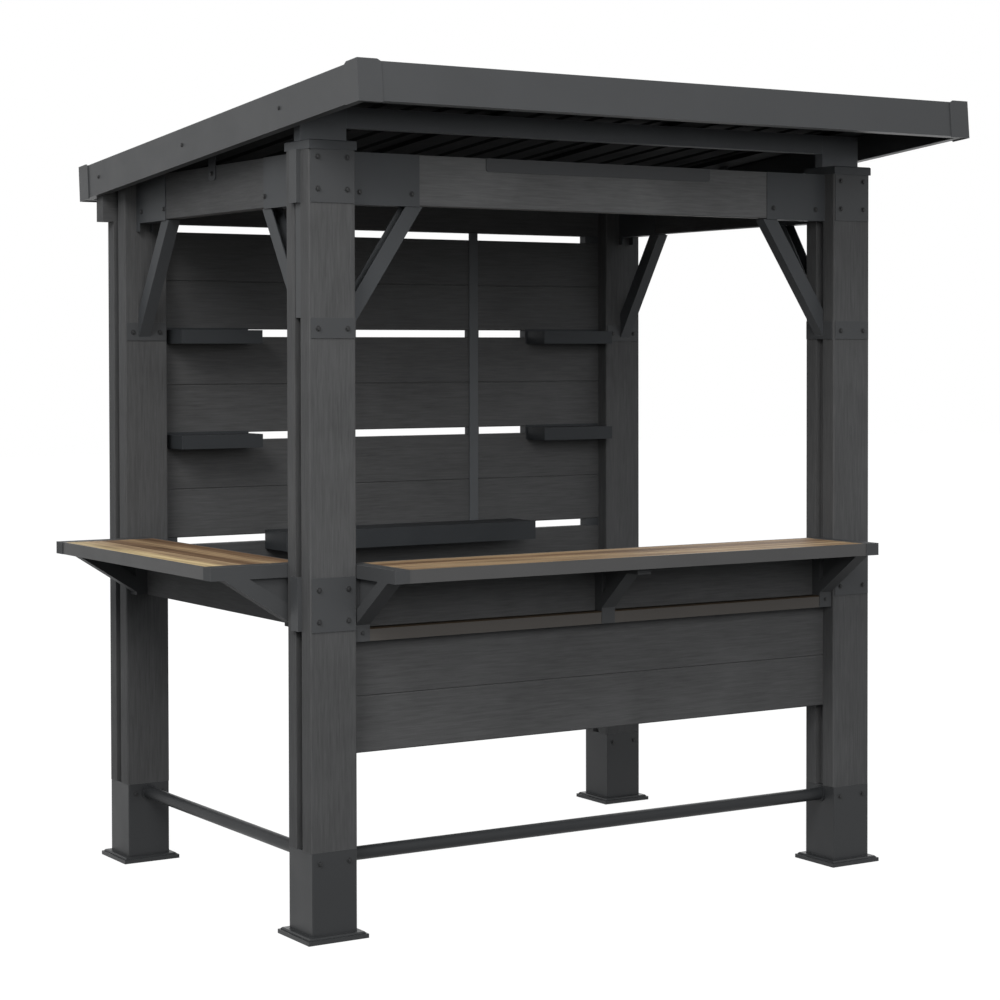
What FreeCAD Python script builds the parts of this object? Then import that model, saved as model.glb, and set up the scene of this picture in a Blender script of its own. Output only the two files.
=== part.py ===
import FreeCAD, Part
import math
import os

os.makedirs("parts", exist_ok=True)

V = FreeCAD.Vector

# Post layout: centre lines of the four posts
POST_SPACING_X = 1906.0
POST_SPACING_Y = 1287.0
POST_WIDTH = 149.0
POST_DEPTH = 139.0
POST_TOP = 2240.0
GROOVE_WIDTH = 36.0
GROOVE_DEPTH = 22.0
POST_EDGE_ROUND = 5.0
SEAT = 0.3

# Feet
FOOT_PLATE = 193.0
FOOT_PLATE_THICK = 18.0
FOOT_STEP = 6.0
SOCKET_SIZE = 143.6
SOCKET_TOP = 254.0
SOCKET_WALL = 6.0
SHOE_ROUND = 3.0

# Caps
CAP_SIZE = 152.0
CAP_RISE = 26.0
BACK_CAP_THICK = 6.0

# Steel plates and bands on the posts
PLATE = 3.0
BAND_BOTTOM = 1708.0
BAND_HEIGHT = 58.0
COUNTER_PLATE_BOTTOM = 878.0
COUNTER_PLATE_HEIGHT = 154.0
COVER_WIDTH = 44.0
COVER_PROUD = 13.5
COVER_INSET = 2.0

# Beams
BEAM_DEPTH = 147.0
BEAM_THICK = 43.0
FRONT_BRACKET_LENGTH = 237.0
SIDE_BEAM_OUTSET = 8.0
SIDE_BRACKET_LENGTH = 225.0
LUG_WIDTH = 24.0
LUG_DROP = 27.0
BEAM_EDGE = 2.0

# Knee braces, measured from the post face and the underside of the bracket
FRONT_BRACE_REACH = 249.0
SIDE_BRACE_REACH = 243.0
BRACE_DROP = 370.0
BRACE_WIDTH_ALONG = 56.0
BRACE_THICK = 40.0
BRACE_WALL = 3.0

# Roof
ROOF_SIDE_OVERHANG = 57.5
ROOF_FRONT_OVERHANG = 390.0
ROOF_BACK_OVERHANG = 94.0
ROOF_ANGLE = 4.9
FASCIA_HEIGHT = 107.5
FASCIA_SKIN = 3.0
FASCIA_BOTTOM_LIP = 30.0
FASCIA_TOP_LIP = 24.0
CORNER_LEG = 70.0
CORNER_PROUD = 3.5
CORNER_RISE = 5.0
CORNER_BEVEL = 12.0
SHEET_THICK = 2.0
SHEET_DROP = 22.0
RIB_PITCH = 108.0
RIB_BASE = 34.0
RIB_TOP = 18.0
RIB_HEIGHT = 14.0
RAFTER_WIDTH = 92.0
RAFTER_THICK = 14.0
RAFTER_INNER_X = 320.0
RISER_INSET = 1.5
RISER_WIDTH = 149.0
RISER_THICK = 36.0
RISER_HEIGHT = 101.7
RISER_SET_BACK = 14.5
HEADER_HEIGHT = 59.0
LEDGER_BELOW_POST_TOP = 141.0
LEDGER_OVERHANG = 38.5
TIE_WIDTH = 48.0
TIE_OVERLAP = 45.0
TIE_Y = 4.0
TIE_ROUND = 12.0

# Back wall
BOARD_THICK = 35.0
BOARD_IN_GROOVE = 18.0
SLOT_HEIGHT = 25.0
BOARD_HEIGHT = 161.0
BOARD_EDGE = 3.0
SLOT_END_X = 821.5
SHELF_SLOT_END_X = 557.0
SLOTS_BELOW_BEAM = 4
BATTEN_X = 335.0
BATTEN_WIDTH = 35.0
BATTEN_DEPTH = 5.0
CLIP_WIDTH = 48.0
CLIP_DEPTH = 18.0

# Shelves
SHELF_HEIGHT = 45.0
SHELF_DEPTH = 120.0
SHELF_INNER_X = 563.0
SHELF_OUTER_X = 858.0
SHELF_PLATE_INNER_X = 559.0
SHELF_PLATE_OUTER_X = 875.0
SHELF_PLATE_ABOVE_SLOT = 5.0
SHELF_SKIN = 2.5
SHELF_TOP_ABOVE_SLOT = -3.0
LONG_SHELF_HALF = 497.0
LONG_SHELF_DEPTH = 160.0
LONG_SHELF_HEIGHT = 64.0
LONG_SHELF_BOTTOM = 1002.0

# Counters
COUNTER_TOP = 1063.0
COUNTER_THICK = 38.0
FRONT_COUNTER_REACH = 286.0
LEFT_COUNTER_REACH = 313.0
COUNTER_WALL = 5.0
COUNTER_BOARDS = 5
COUNTER_JOINT = 2.0
JOINT_DEPTH = 3.0
BRACKET_WIDTH = 48.0
BRACKET_PROUD = 3.0
ARM_SET_BACK = 40.0
LEG_DEPTH = 38.0
LEG_WALL = 3.0
FRONT_STRUT_DEPTH = 32.0
LEFT_STRUT_DEPTH = 42.0
STRUT_FOOT_Z = 890.0
MIDDLE_ARM_DEPTH = 20.0
MIDDLE_STRUT_SET_BACK = 32.0
GUSSET_THICK = 20.0

# Front apron, ledge and lower boards
APRON_BOTTOM = 880.0
LEDGE_HEIGHT = 38.0
LEDGE_DEPTH = 36.0
LEDGE_TOP_THICK = 4.0
FRONT_BOARDS_BOTTOM = 516.0
FRONT_BOARDS = 2

# Foot rails
RAIL_DIAMETER = 40.0
RAIL_Z = 224.0
RAIL_FLANGE = 52.0
RAIL_FLANGE_THICK = 5.0

# Power strip cover on the front beam
STRIP_HALF = 413.0
STRIP_HEIGHT = 40.0
STRIP_THICK = 4.0
STRIP_ROUND = 10.0

PX = POST_SPACING_X / 2
PY = POST_SPACING_Y / 2
HALF_X = POST_WIDTH / 2
HALF_Y = POST_DEPTH / 2
INNER_X = PX - HALF_X
INNER_Y = PY - HALF_Y
SIDE_BEAM_X = PX + SIDE_BEAM_OUTSET
BEAM_TOP = POST_TOP
BEAM_BOTTOM = BEAM_TOP - BEAM_DEPTH
BRACKET_BOTTOM = BEAM_BOTTOM - PLATE
CAP_TOP = POST_TOP + CAP_RISE
SLOPE = math.radians(ROOF_ANGLE)
ROOF_HALF_WIDTH = PX + HALF_X + ROOF_SIDE_OVERHANG
ROOF_FRONT_Y = -PY - HALF_Y - ROOF_FRONT_OVERHANG
ROOF_BACK_Y = PY + HALF_Y + ROOF_BACK_OVERHANG
ROOF_LENGTH = (ROOF_BACK_Y - ROOF_FRONT_Y) / math.cos(SLOPE)
RAFTER_BOTTOM = -SHEET_DROP - SHEET_THICK - RAFTER_THICK
RISER_FACE_Y = -PY - RISER_SET_BACK
RAFTER_DROP = -RAFTER_BOTTOM / math.cos(SLOPE)
ROOF_FRONT_Z = CAP_TOP + RISER_HEIGHT + RAFTER_DROP + (RISER_FACE_Y - ROOF_FRONT_Y) * math.tan(SLOPE)
LEDGER_BOTTOM = POST_TOP - LEDGER_BELOW_POST_TOP
CORNERS = [
    ("front_left", -1, -1),
    ("front_right", 1, -1),
    ("back_left", -1, 1),
    ("back_right", 1, 1),
]

nodes = {}


def box(x0, x1, y0, y1, z0, z1):
    return Part.makeBox(x1 - x0, y1 - y0, z1 - z0, V(x0, y0, z0))


def centred(cx, cy, sx, sy, z0, z1):
    return box(cx - sx / 2, cx + sx / 2, cy - sy / 2, cy + sy / 2, z0, z1)


def prism(points, direction):
    wire = Part.makePolygon(points + [points[0]])
    return Part.Face(wire).extrude(direction)


def mirrored_x(shape):
    return shape.mirror(V(0, 0, 0), V(1, 0, 0))


def mirrored_y(shape):
    return shape.mirror(V(0, 0, 0), V(0, 1, 0))


def placed(shape, sx, sy):
    # a piece drawn for the front left corner, mirrored to the corner wanted
    result = shape.copy()
    if sx > 0:
        result = mirrored_x(result)
    if sy > 0:
        result = mirrored_y(result)
    return result


def add(name, *shapes):
    nodes.setdefault(name, []).extend(shapes)


# Feet: a stepped base plate with a square shoe that the post stands on
def make_foot():
    low = centred(-PX, -PY, FOOT_PLATE, FOOT_PLATE, 0, FOOT_PLATE_THICK - FOOT_STEP)
    upper_size = FOOT_PLATE - 2 * FOOT_STEP
    upper = centred(-PX, -PY, upper_size, upper_size, 0, FOOT_PLATE_THICK)
    rims = [e for e in upper.Edges if e.BoundBox.ZMin > FOOT_PLATE_THICK - 0.01]
    upper = upper.makeChamfer(FOOT_STEP * 0.6, rims)
    shoe = centred(-PX, -PY, SOCKET_SIZE, SOCKET_SIZE, 0, SOCKET_TOP)
    shoe_corners = [e for e in shoe.Edges if e.BoundBox.ZLength > SOCKET_TOP - 0.01]
    shoe = shoe.makeFillet(SHOE_ROUND, shoe_corners)
    hollow_size = SOCKET_SIZE - 2 * SOCKET_WALL
    hollow = centred(-PX, -PY, hollow_size, hollow_size, -1, SOCKET_TOP - SOCKET_WALL)
    return low.fuse(upper).fuse(shoe).removeSplitter().cut(hollow)


# Posts: two planks with a core set back between them
def make_post(back):
    post = centred(-PX, -PY, POST_WIDTH, POST_DEPTH, SOCKET_TOP, POST_TOP)
    verticals = [e for e in post.Edges if abs(e.BoundBox.ZLength - (POST_TOP - SOCKET_TOP)) < 0.01]
    post = post.makeFillet(POST_EDGE_ROUND, verticals)
    for side in (-1, 1):
        face = -PX + side * HALF_X
        inner = face - side * GROOVE_DEPTH
        x0, x1 = sorted((inner, face + side))
        groove = box(x0, x1, -PY - GROOVE_WIDTH / 2, -PY + GROOVE_WIDTH / 2, SOCKET_TOP - 1, POST_TOP + 1)
        post = post.cut(groove)
    if back:
        # the rear plank stops under the roof ledger
        seat = box(-PX - POST_WIDTH, -PX + POST_WIDTH, -PY - POST_DEPTH, -PY - GROOVE_WIDTH / 2,
                   LEDGER_BOTTOM, POST_TOP + 1)
        post = post.cut(seat)
    return post


# Caps: a solid lid on the front posts, a thin plate on what is left of the back posts' heads
def make_cap(back):
    if back:
        return box(-PX - HALF_X, -PX + HALF_X, -PY - GROOVE_WIDTH / 2 + SEAT, -PY + HALF_Y,
                   POST_TOP, POST_TOP + BACK_CAP_THICK)
    lid = centred(-PX, -PY, CAP_SIZE, CAP_SIZE, POST_TOP, CAP_TOP)
    top_edges = [e for e in lid.Edges if e.BoundBox.ZMin > CAP_TOP - 0.01]
    return lid.makeChamfer(3.0, top_edges)


foot = make_foot()
for name, sx, sy in CORNERS:
    add("foot_" + name, placed(foot, sx, sy))
    add("post_" + name, placed(make_post(sy > 0), sx, sy))
    add("post_caps", placed(make_cap(sy > 0), sx, sy))


# Steel on the posts: plates on their faces, groove covers and groove fillers
band_top = BAND_BOTTOM + BAND_HEIGHT
counter_plate_top = COUNTER_PLATE_BOTTOM + COUNTER_PLATE_HEIGHT


def face_plate(side, z0, z1):
    # on the front face for side -1, on the rear face for side 1
    face = -PY + side * HALF_Y
    x0 = -PX - HALF_X + POST_EDGE_ROUND
    x1 = -PX + HALF_X - POST_EDGE_ROUND
    y0, y1 = sorted((face, face + side * PLATE))
    return box(x0, x1, y0, y1, z0, z1)


def brace_plate(z0, z1):
    # on the inner face, where the front knee brace lands
    half = HALF_Y - POST_EDGE_ROUND
    return box(-INNER_X, -INNER_X + PLATE, -PY - half, -PY + half, z0, z1)


def groove_cover(z0, z1):
    x1 = -PX - HALF_X
    x0 = x1 - COVER_PROUD
    y0 = -PY + COVER_INSET - COVER_WIDTH / 2
    y1 = y0 + COVER_WIDTH
    cover = box(x0, x1, y0, y1, z0, z1)
    hollow = box(x0 + PLATE, x1 + 1, y0 + PLATE, y1 - PLATE, z0 - 1, z1 + 1)
    return cover.cut(hollow)


def groove_filler(z0, z1):
    face = -PX - HALF_X
    width = GROOVE_WIDTH - 2 * SEAT - 3.0
    centre = -PY - 1.5
    return box(face + 1.5, face + GROOVE_DEPTH, centre - width / 2, centre + width / 2, z0, z1)


for name, sx, sy in CORNERS:
    steel = [face_plate(-1, BAND_BOTTOM, band_top), face_plate(1, BAND_BOTTOM, band_top)]
    if sy < 0:
        steel.append(brace_plate(BAND_BOTTOM, band_top))
        steel.append(face_plate(-1, BRACKET_BOTTOM, POST_TOP))
        steel.append(groove_cover(BRACKET_BOTTOM, POST_TOP))
        steel.append(groove_cover(COUNTER_PLATE_BOTTOM, counter_plate_top))
        steel.append(groove_filler(band_top, BRACKET_BOTTOM))
    if sy < 0 or sx < 0:
        steel.append(face_plate(-1, COUNTER_PLATE_BOTTOM, counter_plate_top))
    for shape in steel:
        add("post_plates", placed(shape, sx, sy))


# Beams between the posts, with steel saddles at their ends
def softened(shape, size, axis):
    # chamfers on the long edges that run along the axis 0, 1 or 2
    lengths = [shape.BoundBox.XLength, shape.BoundBox.YLength, shape.BoundBox.ZLength]
    edges = []
    for edge in shape.Edges:
        spans = [edge.BoundBox.XLength, edge.BoundBox.YLength, edge.BoundBox.ZLength]
        if spans[axis] > lengths[axis] - 0.01:
            edges.append(edge)
    return shape.makeChamfer(size, edges)


def beam_x(cy, z0, z1):
    half = INNER_X - PLATE
    return softened(box(-half, half, cy - BEAM_THICK / 2, cy + BEAM_THICK / 2, z0, z1), BEAM_EDGE, 0)


def beam_y(cx, z0, z1):
    half = INNER_Y - PLATE
    return softened(box(cx - BEAM_THICK / 2, cx + BEAM_THICK / 2, -half, half, z0, z1), BEAM_EDGE, 1)


def saddle_x(cy, z0, z1, length):
    # open-topped shoe on the left end of a beam that runs left to right
    outer = BEAM_THICK + 2 * (SEAT + PLATE)
    shoe = box(-INNER_X, -INNER_X + length, cy - outer / 2, cy + outer / 2, z0 - PLATE, z1)
    hollow = box(-INNER_X + PLATE, -INNER_X + length + 1,
                 cy - BEAM_THICK / 2 - SEAT, cy + BEAM_THICK / 2 + SEAT, z0, z1 + 1)
    return shoe.cut(hollow)


def saddle_y(cx, z0, z1, length):
    outer = BEAM_THICK + 2 * (SEAT + PLATE)
    shoe = box(cx - outer / 2, cx + outer / 2, -INNER_Y, -INNER_Y + length, z0 - PLATE, z1)
    hollow = box(cx - BEAM_THICK / 2 - SEAT, cx + BEAM_THICK / 2 + SEAT,
                 -INNER_Y + PLATE, -INNER_Y + length + 1, z0, z1 + 1)
    return shoe.cut(hollow)


def saddle_lugs(cx):
    # the cheeks of a side saddle hang a little way down the back post
    outer = BEAM_THICK + 2 * (SEAT + PLATE)
    y0 = INNER_Y - LUG_WIDTH
    top = BRACKET_BOTTOM
    left = box(cx - outer / 2, cx - outer / 2 + PLATE, y0, INNER_Y, top - LUG_DROP, top)
    right = box(cx + outer / 2 - PLATE, cx + outer / 2, y0, INNER_Y, top - LUG_DROP, top)
    return left.fuse(right)


add("beam_front", beam_x(-PY, BEAM_BOTTOM, BEAM_TOP))
add("beam_left", beam_y(-SIDE_BEAM_X, BEAM_BOTTOM, BEAM_TOP))
add("beam_right", beam_y(SIDE_BEAM_X, BEAM_BOTTOM, BEAM_TOP))
shoe = saddle_x(-PY, BEAM_BOTTOM, BEAM_TOP, FRONT_BRACKET_LENGTH)
add("beam_brackets", shoe, mirrored_x(shoe))
for cx in (-SIDE_BEAM_X, SIDE_BEAM_X):
    shoe = saddle_y(cx, BEAM_BOTTOM, BEAM_TOP, SIDE_BRACKET_LENGTH)
    add("beam_brackets", shoe, mirrored_y(shoe).fuse(saddle_lugs(cx)))


# Knee braces: a folded channel, open towards the corner it stiffens
def make_brace_x(reach):
    low = BRACKET_BOTTOM - BRACE_DROP
    slope = BRACE_DROP / (reach - PLATE)
    near = reach - BRACE_WIDTH_ALONG
    face = -PY - BRACE_THICK / 2
    outline = [
        (PLATE, low),
        (reach, BRACKET_BOTTOM),
        (near, BRACKET_BOTTOM),
        (PLATE, BRACKET_BOTTOM - (near - PLATE) * slope),
    ]
    solid = prism([V(-INNER_X + d, face, z) for d, z in outline], V(0, BRACE_THICK, 0))
    shift = BRACE_WALL * math.hypot(1, slope) / slope
    cut_low = low + (shift - PLATE) * slope
    cut_high = BRACKET_BOTTOM + 20 * slope
    cut_outline = [
        (0, cut_low),
        (reach - shift + 20, cut_high),
        (-300, cut_high),
        (-300, cut_low),
    ]
    inner_face = face + BRACE_WALL
    hollow = prism([V(-INNER_X + d, inner_face, z) for d, z in cut_outline],
                   V(0, BRACE_THICK - 2 * BRACE_WALL, 0))
    return solid.cut(hollow)


def turned_to_side(shape):
    # swung round the post's centre line to run front to back, under the side beam
    turned = shape.copy()
    turned.rotate(V(-PX, -PY, 0), V(0, 0, 1), 90)
    turned.translate(V(-SIDE_BEAM_OUTSET, HALF_Y - HALF_X, 0))
    return turned


brace = make_brace_x(FRONT_BRACE_REACH)
side_brace = turned_to_side(make_brace_x(SIDE_BRACE_REACH))
add("knee_braces_front", brace, mirrored_x(brace))
for name, side in (("left", side_brace), ("right", mirrored_x(side_brace))):
    add("knee_braces_" + name, side, mirrored_y(side))


# Roof, drawn level with its front top edge at the origin, then tilted
def roof_frame(shape):
    result = shape.copy()
    result.rotate(V(0, 0, 0), V(1, 0, 0), -ROOF_ANGLE)
    result.translate(V(0, ROOF_FRONT_Y, ROOF_FRONT_Z))
    return result


def fascia_profile():
    # C section, open inwards: web, bottom lip and top lip
    w = FASCIA_SKIN
    return [
        (0, 0),
        (FASCIA_TOP_LIP, 0),
        (FASCIA_TOP_LIP, -w),
        (w, -w),
        (w, -FASCIA_HEIGHT + w),
        (FASCIA_BOTTOM_LIP, -FASCIA_HEIGHT + w),
        (FASCIA_BOTTOM_LIP, -FASCIA_HEIGHT),
        (0, -FASCIA_HEIGHT),
    ]


def make_fascia_long():
    # front fascia, mitred by the side fascias that run between it and the back one
    points = [V(-ROOF_HALF_WIDTH, a, b) for a, b in fascia_profile()]
    return prism(points, V(2 * ROOF_HALF_WIDTH, 0, 0))


def make_fascia_side():
    start = FASCIA_BOTTOM_LIP
    length = ROOF_LENGTH - 2 * FASCIA_BOTTOM_LIP
    points = [V(-ROOF_HALF_WIDTH + a, start, b) for a, b in fascia_profile()]
    return prism(points, V(0, length, 0))


front_fascia = make_fascia_long()
back_fascia = front_fascia.mirror(V(0, ROOF_LENGTH / 2, 0), V(0, 1, 0))
side_fascia = make_fascia_side()
add("fascia_front", roof_frame(front_fascia))
add("fascia_back", roof_frame(back_fascia))
add("fascia_left", roof_frame(side_fascia))
add("fascia_right", roof_frame(mirrored_x(side_fascia)))


def make_corner():
    # angle piece folded round the corner of the fascias, with bevelled upper ends
    x = -ROOF_HALF_WIDTH
    p = CORNER_PROUD
    outer = box(x - p, x + CORNER_LEG, -p, CORNER_LEG, -FASCIA_HEIGHT - p, CORNER_RISE)
    inner = box(x, x + CORNER_LEG + 1, 0, CORNER_LEG + 1, -FASCIA_HEIGHT - p - 1, CORNER_RISE + 1)
    angle = outer.cut(inner)
    far = CORNER_LEG + 1
    near = CORNER_LEG - CORNER_BEVEL
    high = CORNER_RISE + 0.1
    low = CORNER_RISE - CORNER_BEVEL * 0.6
    back = -p - 1
    bevel_x = prism([V(x + near, back, high), V(x + far, back, high), V(x + far, back, low)], V(0, p + 1, 0))
    bevel_y = prism([V(x + back, near, high), V(x + back, far, high), V(x + back, far, low)], V(p + 1, 0, 0))
    return angle.cut(bevel_x).cut(bevel_y)


corner = make_corner()
for shape in (corner, mirrored_x(corner)):
    add("roof_corners", roof_frame(shape))
    back_corner = shape.mirror(V(0, ROOF_LENGTH / 2, 0), V(0, 1, 0))
    add("roof_corners", roof_frame(back_corner))


def make_sheet():
    # one folded sheet: flat pans with trapezium ribs that run down the slope
    half = ROOF_HALF_WIDTH - FASCIA_SKIN - SEAT
    count = int((2 * half - RIB_PITCH / 2) // RIB_PITCH)
    first = -count * RIB_PITCH / 2 + RIB_PITCH / 2
    top = [(-half, 0)]
    for n in range(count):
        c = first + n * RIB_PITCH
        top += [
            (c - RIB_BASE / 2, 0),
            (c - RIB_TOP / 2, RIB_HEIGHT),
            (c + RIB_TOP / 2, RIB_HEIGHT),
            (c + RIB_BASE / 2, 0),
        ]
    top.append((half, 0))
    slant = math.atan2(RIB_HEIGHT, (RIB_BASE - RIB_TOP) / 2)
    inset = SHEET_THICK * math.tan(slant / 2)
    under = [(-half, -SHEET_THICK)]
    for n in range(count):
        c = first + n * RIB_PITCH
        under += [
            (c - RIB_BASE / 2 + inset, -SHEET_THICK),
            (c - RIB_TOP / 2 + inset, RIB_HEIGHT - SHEET_THICK),
            (c + RIB_TOP / 2 - inset, RIB_HEIGHT - SHEET_THICK),
            (c + RIB_BASE / 2 - inset, -SHEET_THICK),
        ]
    under.append((half, -SHEET_THICK))
    start = FASCIA_SKIN + SEAT
    outline = [V(x, start, z - SHEET_DROP) for x, z in top + under[::-1]]
    return prism(outline, V(0, ROOF_LENGTH - 2 * start, 0))


add("roof_sheet", roof_frame(make_sheet()))

riser_x = PX - RISER_INSET
rafter_top = -SHEET_DROP - SHEET_THICK
for cx in (-riser_x, -RAFTER_INNER_X, RAFTER_INNER_X, riser_x):
    start = FASCIA_SKIN + SEAT
    x0 = cx - RAFTER_WIDTH / 2
    rafter = box(x0, x0 + RAFTER_WIDTH, start, ROOF_LENGTH - start, RAFTER_BOTTOM, rafter_top)
    add("roof_rafters", roof_frame(rafter))


def under_rafters(shape):
    wide = 2 * ROOF_HALF_WIDTH
    above = roof_frame(box(-wide, wide, -500, ROOF_LENGTH + 500, RAFTER_BOTTOM, RAFTER_BOTTOM + 1000))
    return shape.cut(above)


def inside_fascias(shape):
    # notches the ends of a piece that runs out under the lips of the side fascias
    free = ROOF_HALF_WIDTH - FASCIA_BOTTOM_LIP - SEAT
    for x0, x1 in ((-2 * ROOF_HALF_WIDTH, -free), (free, 2 * ROOF_HALF_WIDTH)):
        shape = shape.cut(roof_frame(box(x0, x1, 0, ROOF_LENGTH, -FASCIA_HEIGHT - SEAT, 500)))
    return shape


riser_back = RISER_FACE_Y + RISER_THICK
roof_high = CAP_TOP + 3 * RISER_HEIGHT
riser_x0 = -riser_x - RISER_WIDTH / 2
riser = box(riser_x0, riser_x0 + RISER_WIDTH, RISER_FACE_Y, riser_back, CAP_TOP, roof_high)
riser = under_rafters(riser)
add("roof_risers", riser, mirrored_x(riser))
header_half = riser_x - RISER_WIDTH / 2
header_bottom = CAP_TOP + RISER_HEIGHT - HEADER_HEIGHT
header = box(-header_half, header_half, RISER_FACE_Y, riser_back, header_bottom, roof_high)
add("roof_header", under_rafters(header))
ledger_half = PX + HALF_X + LEDGER_OVERHANG
ledger = box(-ledger_half, ledger_half, PY + GROOVE_WIDTH / 2 + SEAT, PY + HALF_Y, LEDGER_BOTTOM, roof_high)
add("roof_ledger", inside_fascias(under_rafters(ledger)))
tie_face = -SIDE_BEAM_X - BEAM_THICK / 2
tie_y0 = TIE_Y - TIE_WIDTH / 2
tie = box(tie_face - PLATE, tie_face, tie_y0, tie_y0 + TIE_WIDTH, BEAM_TOP - TIE_OVERLAP, roof_high)
tie_corners = [e for e in tie.Edges if e.BoundBox.ZMax < BEAM_TOP - TIE_OVERLAP + 0.01
               and abs(e.BoundBox.XLength - PLATE) < 0.01]
tie = under_rafters(tie.makeFillet(TIE_ROUND, tie_corners))
add("roof_ties", tie, mirrored_x(tie))

# Back wall: a head beam and boards in the grooves of the back posts
board_half = INNER_X + BOARD_IN_GROOVE
board_y0 = PY - BOARD_THICK / 2
board_y1 = PY + BOARD_THICK / 2
wall_top = BEAM_BOTTOM


def wall_board(y0, z0, z1):
    return softened(box(-board_half, board_half, y0, y0 + BOARD_THICK, z0, z1), BOARD_EDGE, 0)


add("beam_back", wall_board(board_y0, BEAM_BOTTOM, BEAM_TOP))
slots = []
z = wall_top
for n in range(SLOTS_BELOW_BEAM):
    slots.append((z - SLOT_HEIGHT, z))
    z -= SLOT_HEIGHT
    rows = 2 if n < SLOTS_BELOW_BEAM - 1 else 1
    for row in range(rows):
        add("back_wall_boards", wall_board(board_y0, z - BOARD_HEIGHT, z))
        z -= BOARD_HEIGHT
for n, (low, high) in enumerate(slots):
    end = SHELF_SLOT_END_X if n in (1, 2) else SLOT_END_X
    spacer = box(-board_half, -end, board_y0, board_y1, low, high)
    add("back_wall_spacers", spacer, mirrored_x(spacer))
    if n > 0:
        for cx in (-BATTEN_X, BATTEN_X):
            clip = box(cx - CLIP_WIDTH / 2, cx + CLIP_WIDTH / 2, board_y0, board_y0 + CLIP_DEPTH, low, high)
            add("back_wall_spacers", clip)
long_shelf_top = LONG_SHELF_BOTTOM + LONG_SHELF_HEIGHT
batten_back = board_y0
for cx in (-BATTEN_X, BATTEN_X):
    batten = box(cx - BATTEN_WIDTH / 2, cx + BATTEN_WIDTH / 2, batten_back - BATTEN_DEPTH, batten_back,
                 long_shelf_top, BEAM_BOTTOM)
    add("back_wall_battens", batten)


# Shelves: folded steel trays turned face down, each on a back plate
def make_shelf(x0, x1, depth, z0, height, plate_x0, plate_x1, plate_top):
    body = box(x0, x1, board_y0 - depth, board_y0, z0, z0 + height)
    hollow = box(x0 + SHELF_SKIN, x1 - SHELF_SKIN, board_y0 - depth + SHELF_SKIN,
                 board_y0 - SHELF_SKIN, z0 - 1, z0 + height - SHELF_SKIN)
    shelf = body.cut(hollow)
    plate = box(plate_x0, plate_x1, board_y0 - SHELF_SKIN, board_y0, z0, plate_top)
    return shelf.fuse(plate).removeSplitter()


for low, high in slots[1:3]:
    top = high + SHELF_TOP_ABOVE_SLOT
    shelf = make_shelf(-SHELF_OUTER_X, -SHELF_INNER_X, SHELF_DEPTH, top - SHELF_HEIGHT, SHELF_HEIGHT,
                       -SHELF_PLATE_OUTER_X, -SHELF_PLATE_INNER_X, high + SHELF_PLATE_ABOVE_SLOT)
    add("corner_shelves", shelf, mirrored_x(shelf))
add("long_shelf", make_shelf(-LONG_SHELF_HALF, LONG_SHELF_HALF, LONG_SHELF_DEPTH, LONG_SHELF_BOTTOM,
                             LONG_SHELF_HEIGHT, -LONG_SHELF_HALF, LONG_SHELF_HALF, long_shelf_top))


# Counters, drawn along the X axis with the back edge on y = 0 and reaching to -y
def counter_frame(half, reach):
    z0 = COUNTER_TOP - COUNTER_THICK
    frame = box(-half, half, -reach, 0, z0, COUNTER_TOP)
    hollow = box(-half + COUNTER_WALL, half - COUNTER_WALL, -reach + COUNTER_WALL, -COUNTER_WALL,
                 z0 + COUNTER_WALL, COUNTER_TOP + 1)
    return frame.cut(hollow)


def counter_boards(half, reach):
    x = half - COUNTER_WALL - SEAT
    y0 = -reach + COUNTER_WALL + SEAT
    y1 = -COUNTER_WALL - SEAT
    bottom = COUNTER_TOP - COUNTER_THICK + COUNTER_WALL
    slab = box(-x, x, y0, y1, bottom, COUNTER_TOP - 0.5)
    pitch = (y1 - y0) / COUNTER_BOARDS
    for n in range(1, COUNTER_BOARDS):
        c = y0 + n * pitch
        slab = slab.cut(box(-x - 1, x + 1, c - COUNTER_JOINT / 2, c + COUNTER_JOINT / 2,
                            COUNTER_TOP - 0.5 - JOINT_DEPTH, COUNTER_TOP + 1))
    return slab


def bracket(reach, leg_bottom, strut_depth, at_end):
    # leg on the apron, arm under the counter or at its end, strut and gusset between them
    w = BRACKET_WIDTH / 2
    face = -BEAM_THICK / 2
    leg_y = face - LEG_DEPTH
    arm_top = COUNTER_TOP
    arm_bottom = COUNTER_TOP - COUNTER_THICK
    leg = box(-w, w, leg_y, face, leg_bottom, arm_bottom)
    wall = LEG_WALL
    leg = leg.cut(box(-w + wall, w - wall, leg_y + wall, face + 1, leg_bottom - 1, arm_bottom - wall))
    arm_end = -reach + ARM_SET_BACK
    tip = arm_end if at_end else arm_end + MIDDLE_STRUT_SET_BACK
    slope = (arm_bottom - STRUT_FOOT_Z) / (leg_y - tip)
    rise = strut_depth * math.hypot(1, slope)
    strut = prism([
        V(-w, tip, arm_bottom),
        V(-w, leg_y, STRUT_FOOT_Z),
        V(-w, leg_y, STRUT_FOOT_Z + rise),
        V(-w, tip + rise / slope, arm_bottom),
    ], V(BRACKET_WIDTH, 0, 0))
    gusset = prism([
        V(-GUSSET_THICK / 2, tip + rise / slope - 1, arm_bottom),
        V(-GUSSET_THICK / 2, leg_y, STRUT_FOOT_Z + rise - 1),
        V(-GUSSET_THICK / 2, leg_y, arm_bottom),
    ], V(GUSSET_THICK, 0, 0))
    if at_end:
        arm = box(-w, w, -reach - BRACKET_PROUD, face - SEAT, arm_bottom, arm_top)
        tail = box(-w, w, face - SEAT, 0, arm_bottom + SEAT, arm_top)
        arm = arm.fuse(tail)
    else:
        arm = box(-w, w, arm_end, face, arm_bottom - MIDDLE_ARM_DEPTH, arm_bottom)
    return leg.fuse(strut).fuse(gusset).fuse(arm).removeSplitter()


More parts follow.
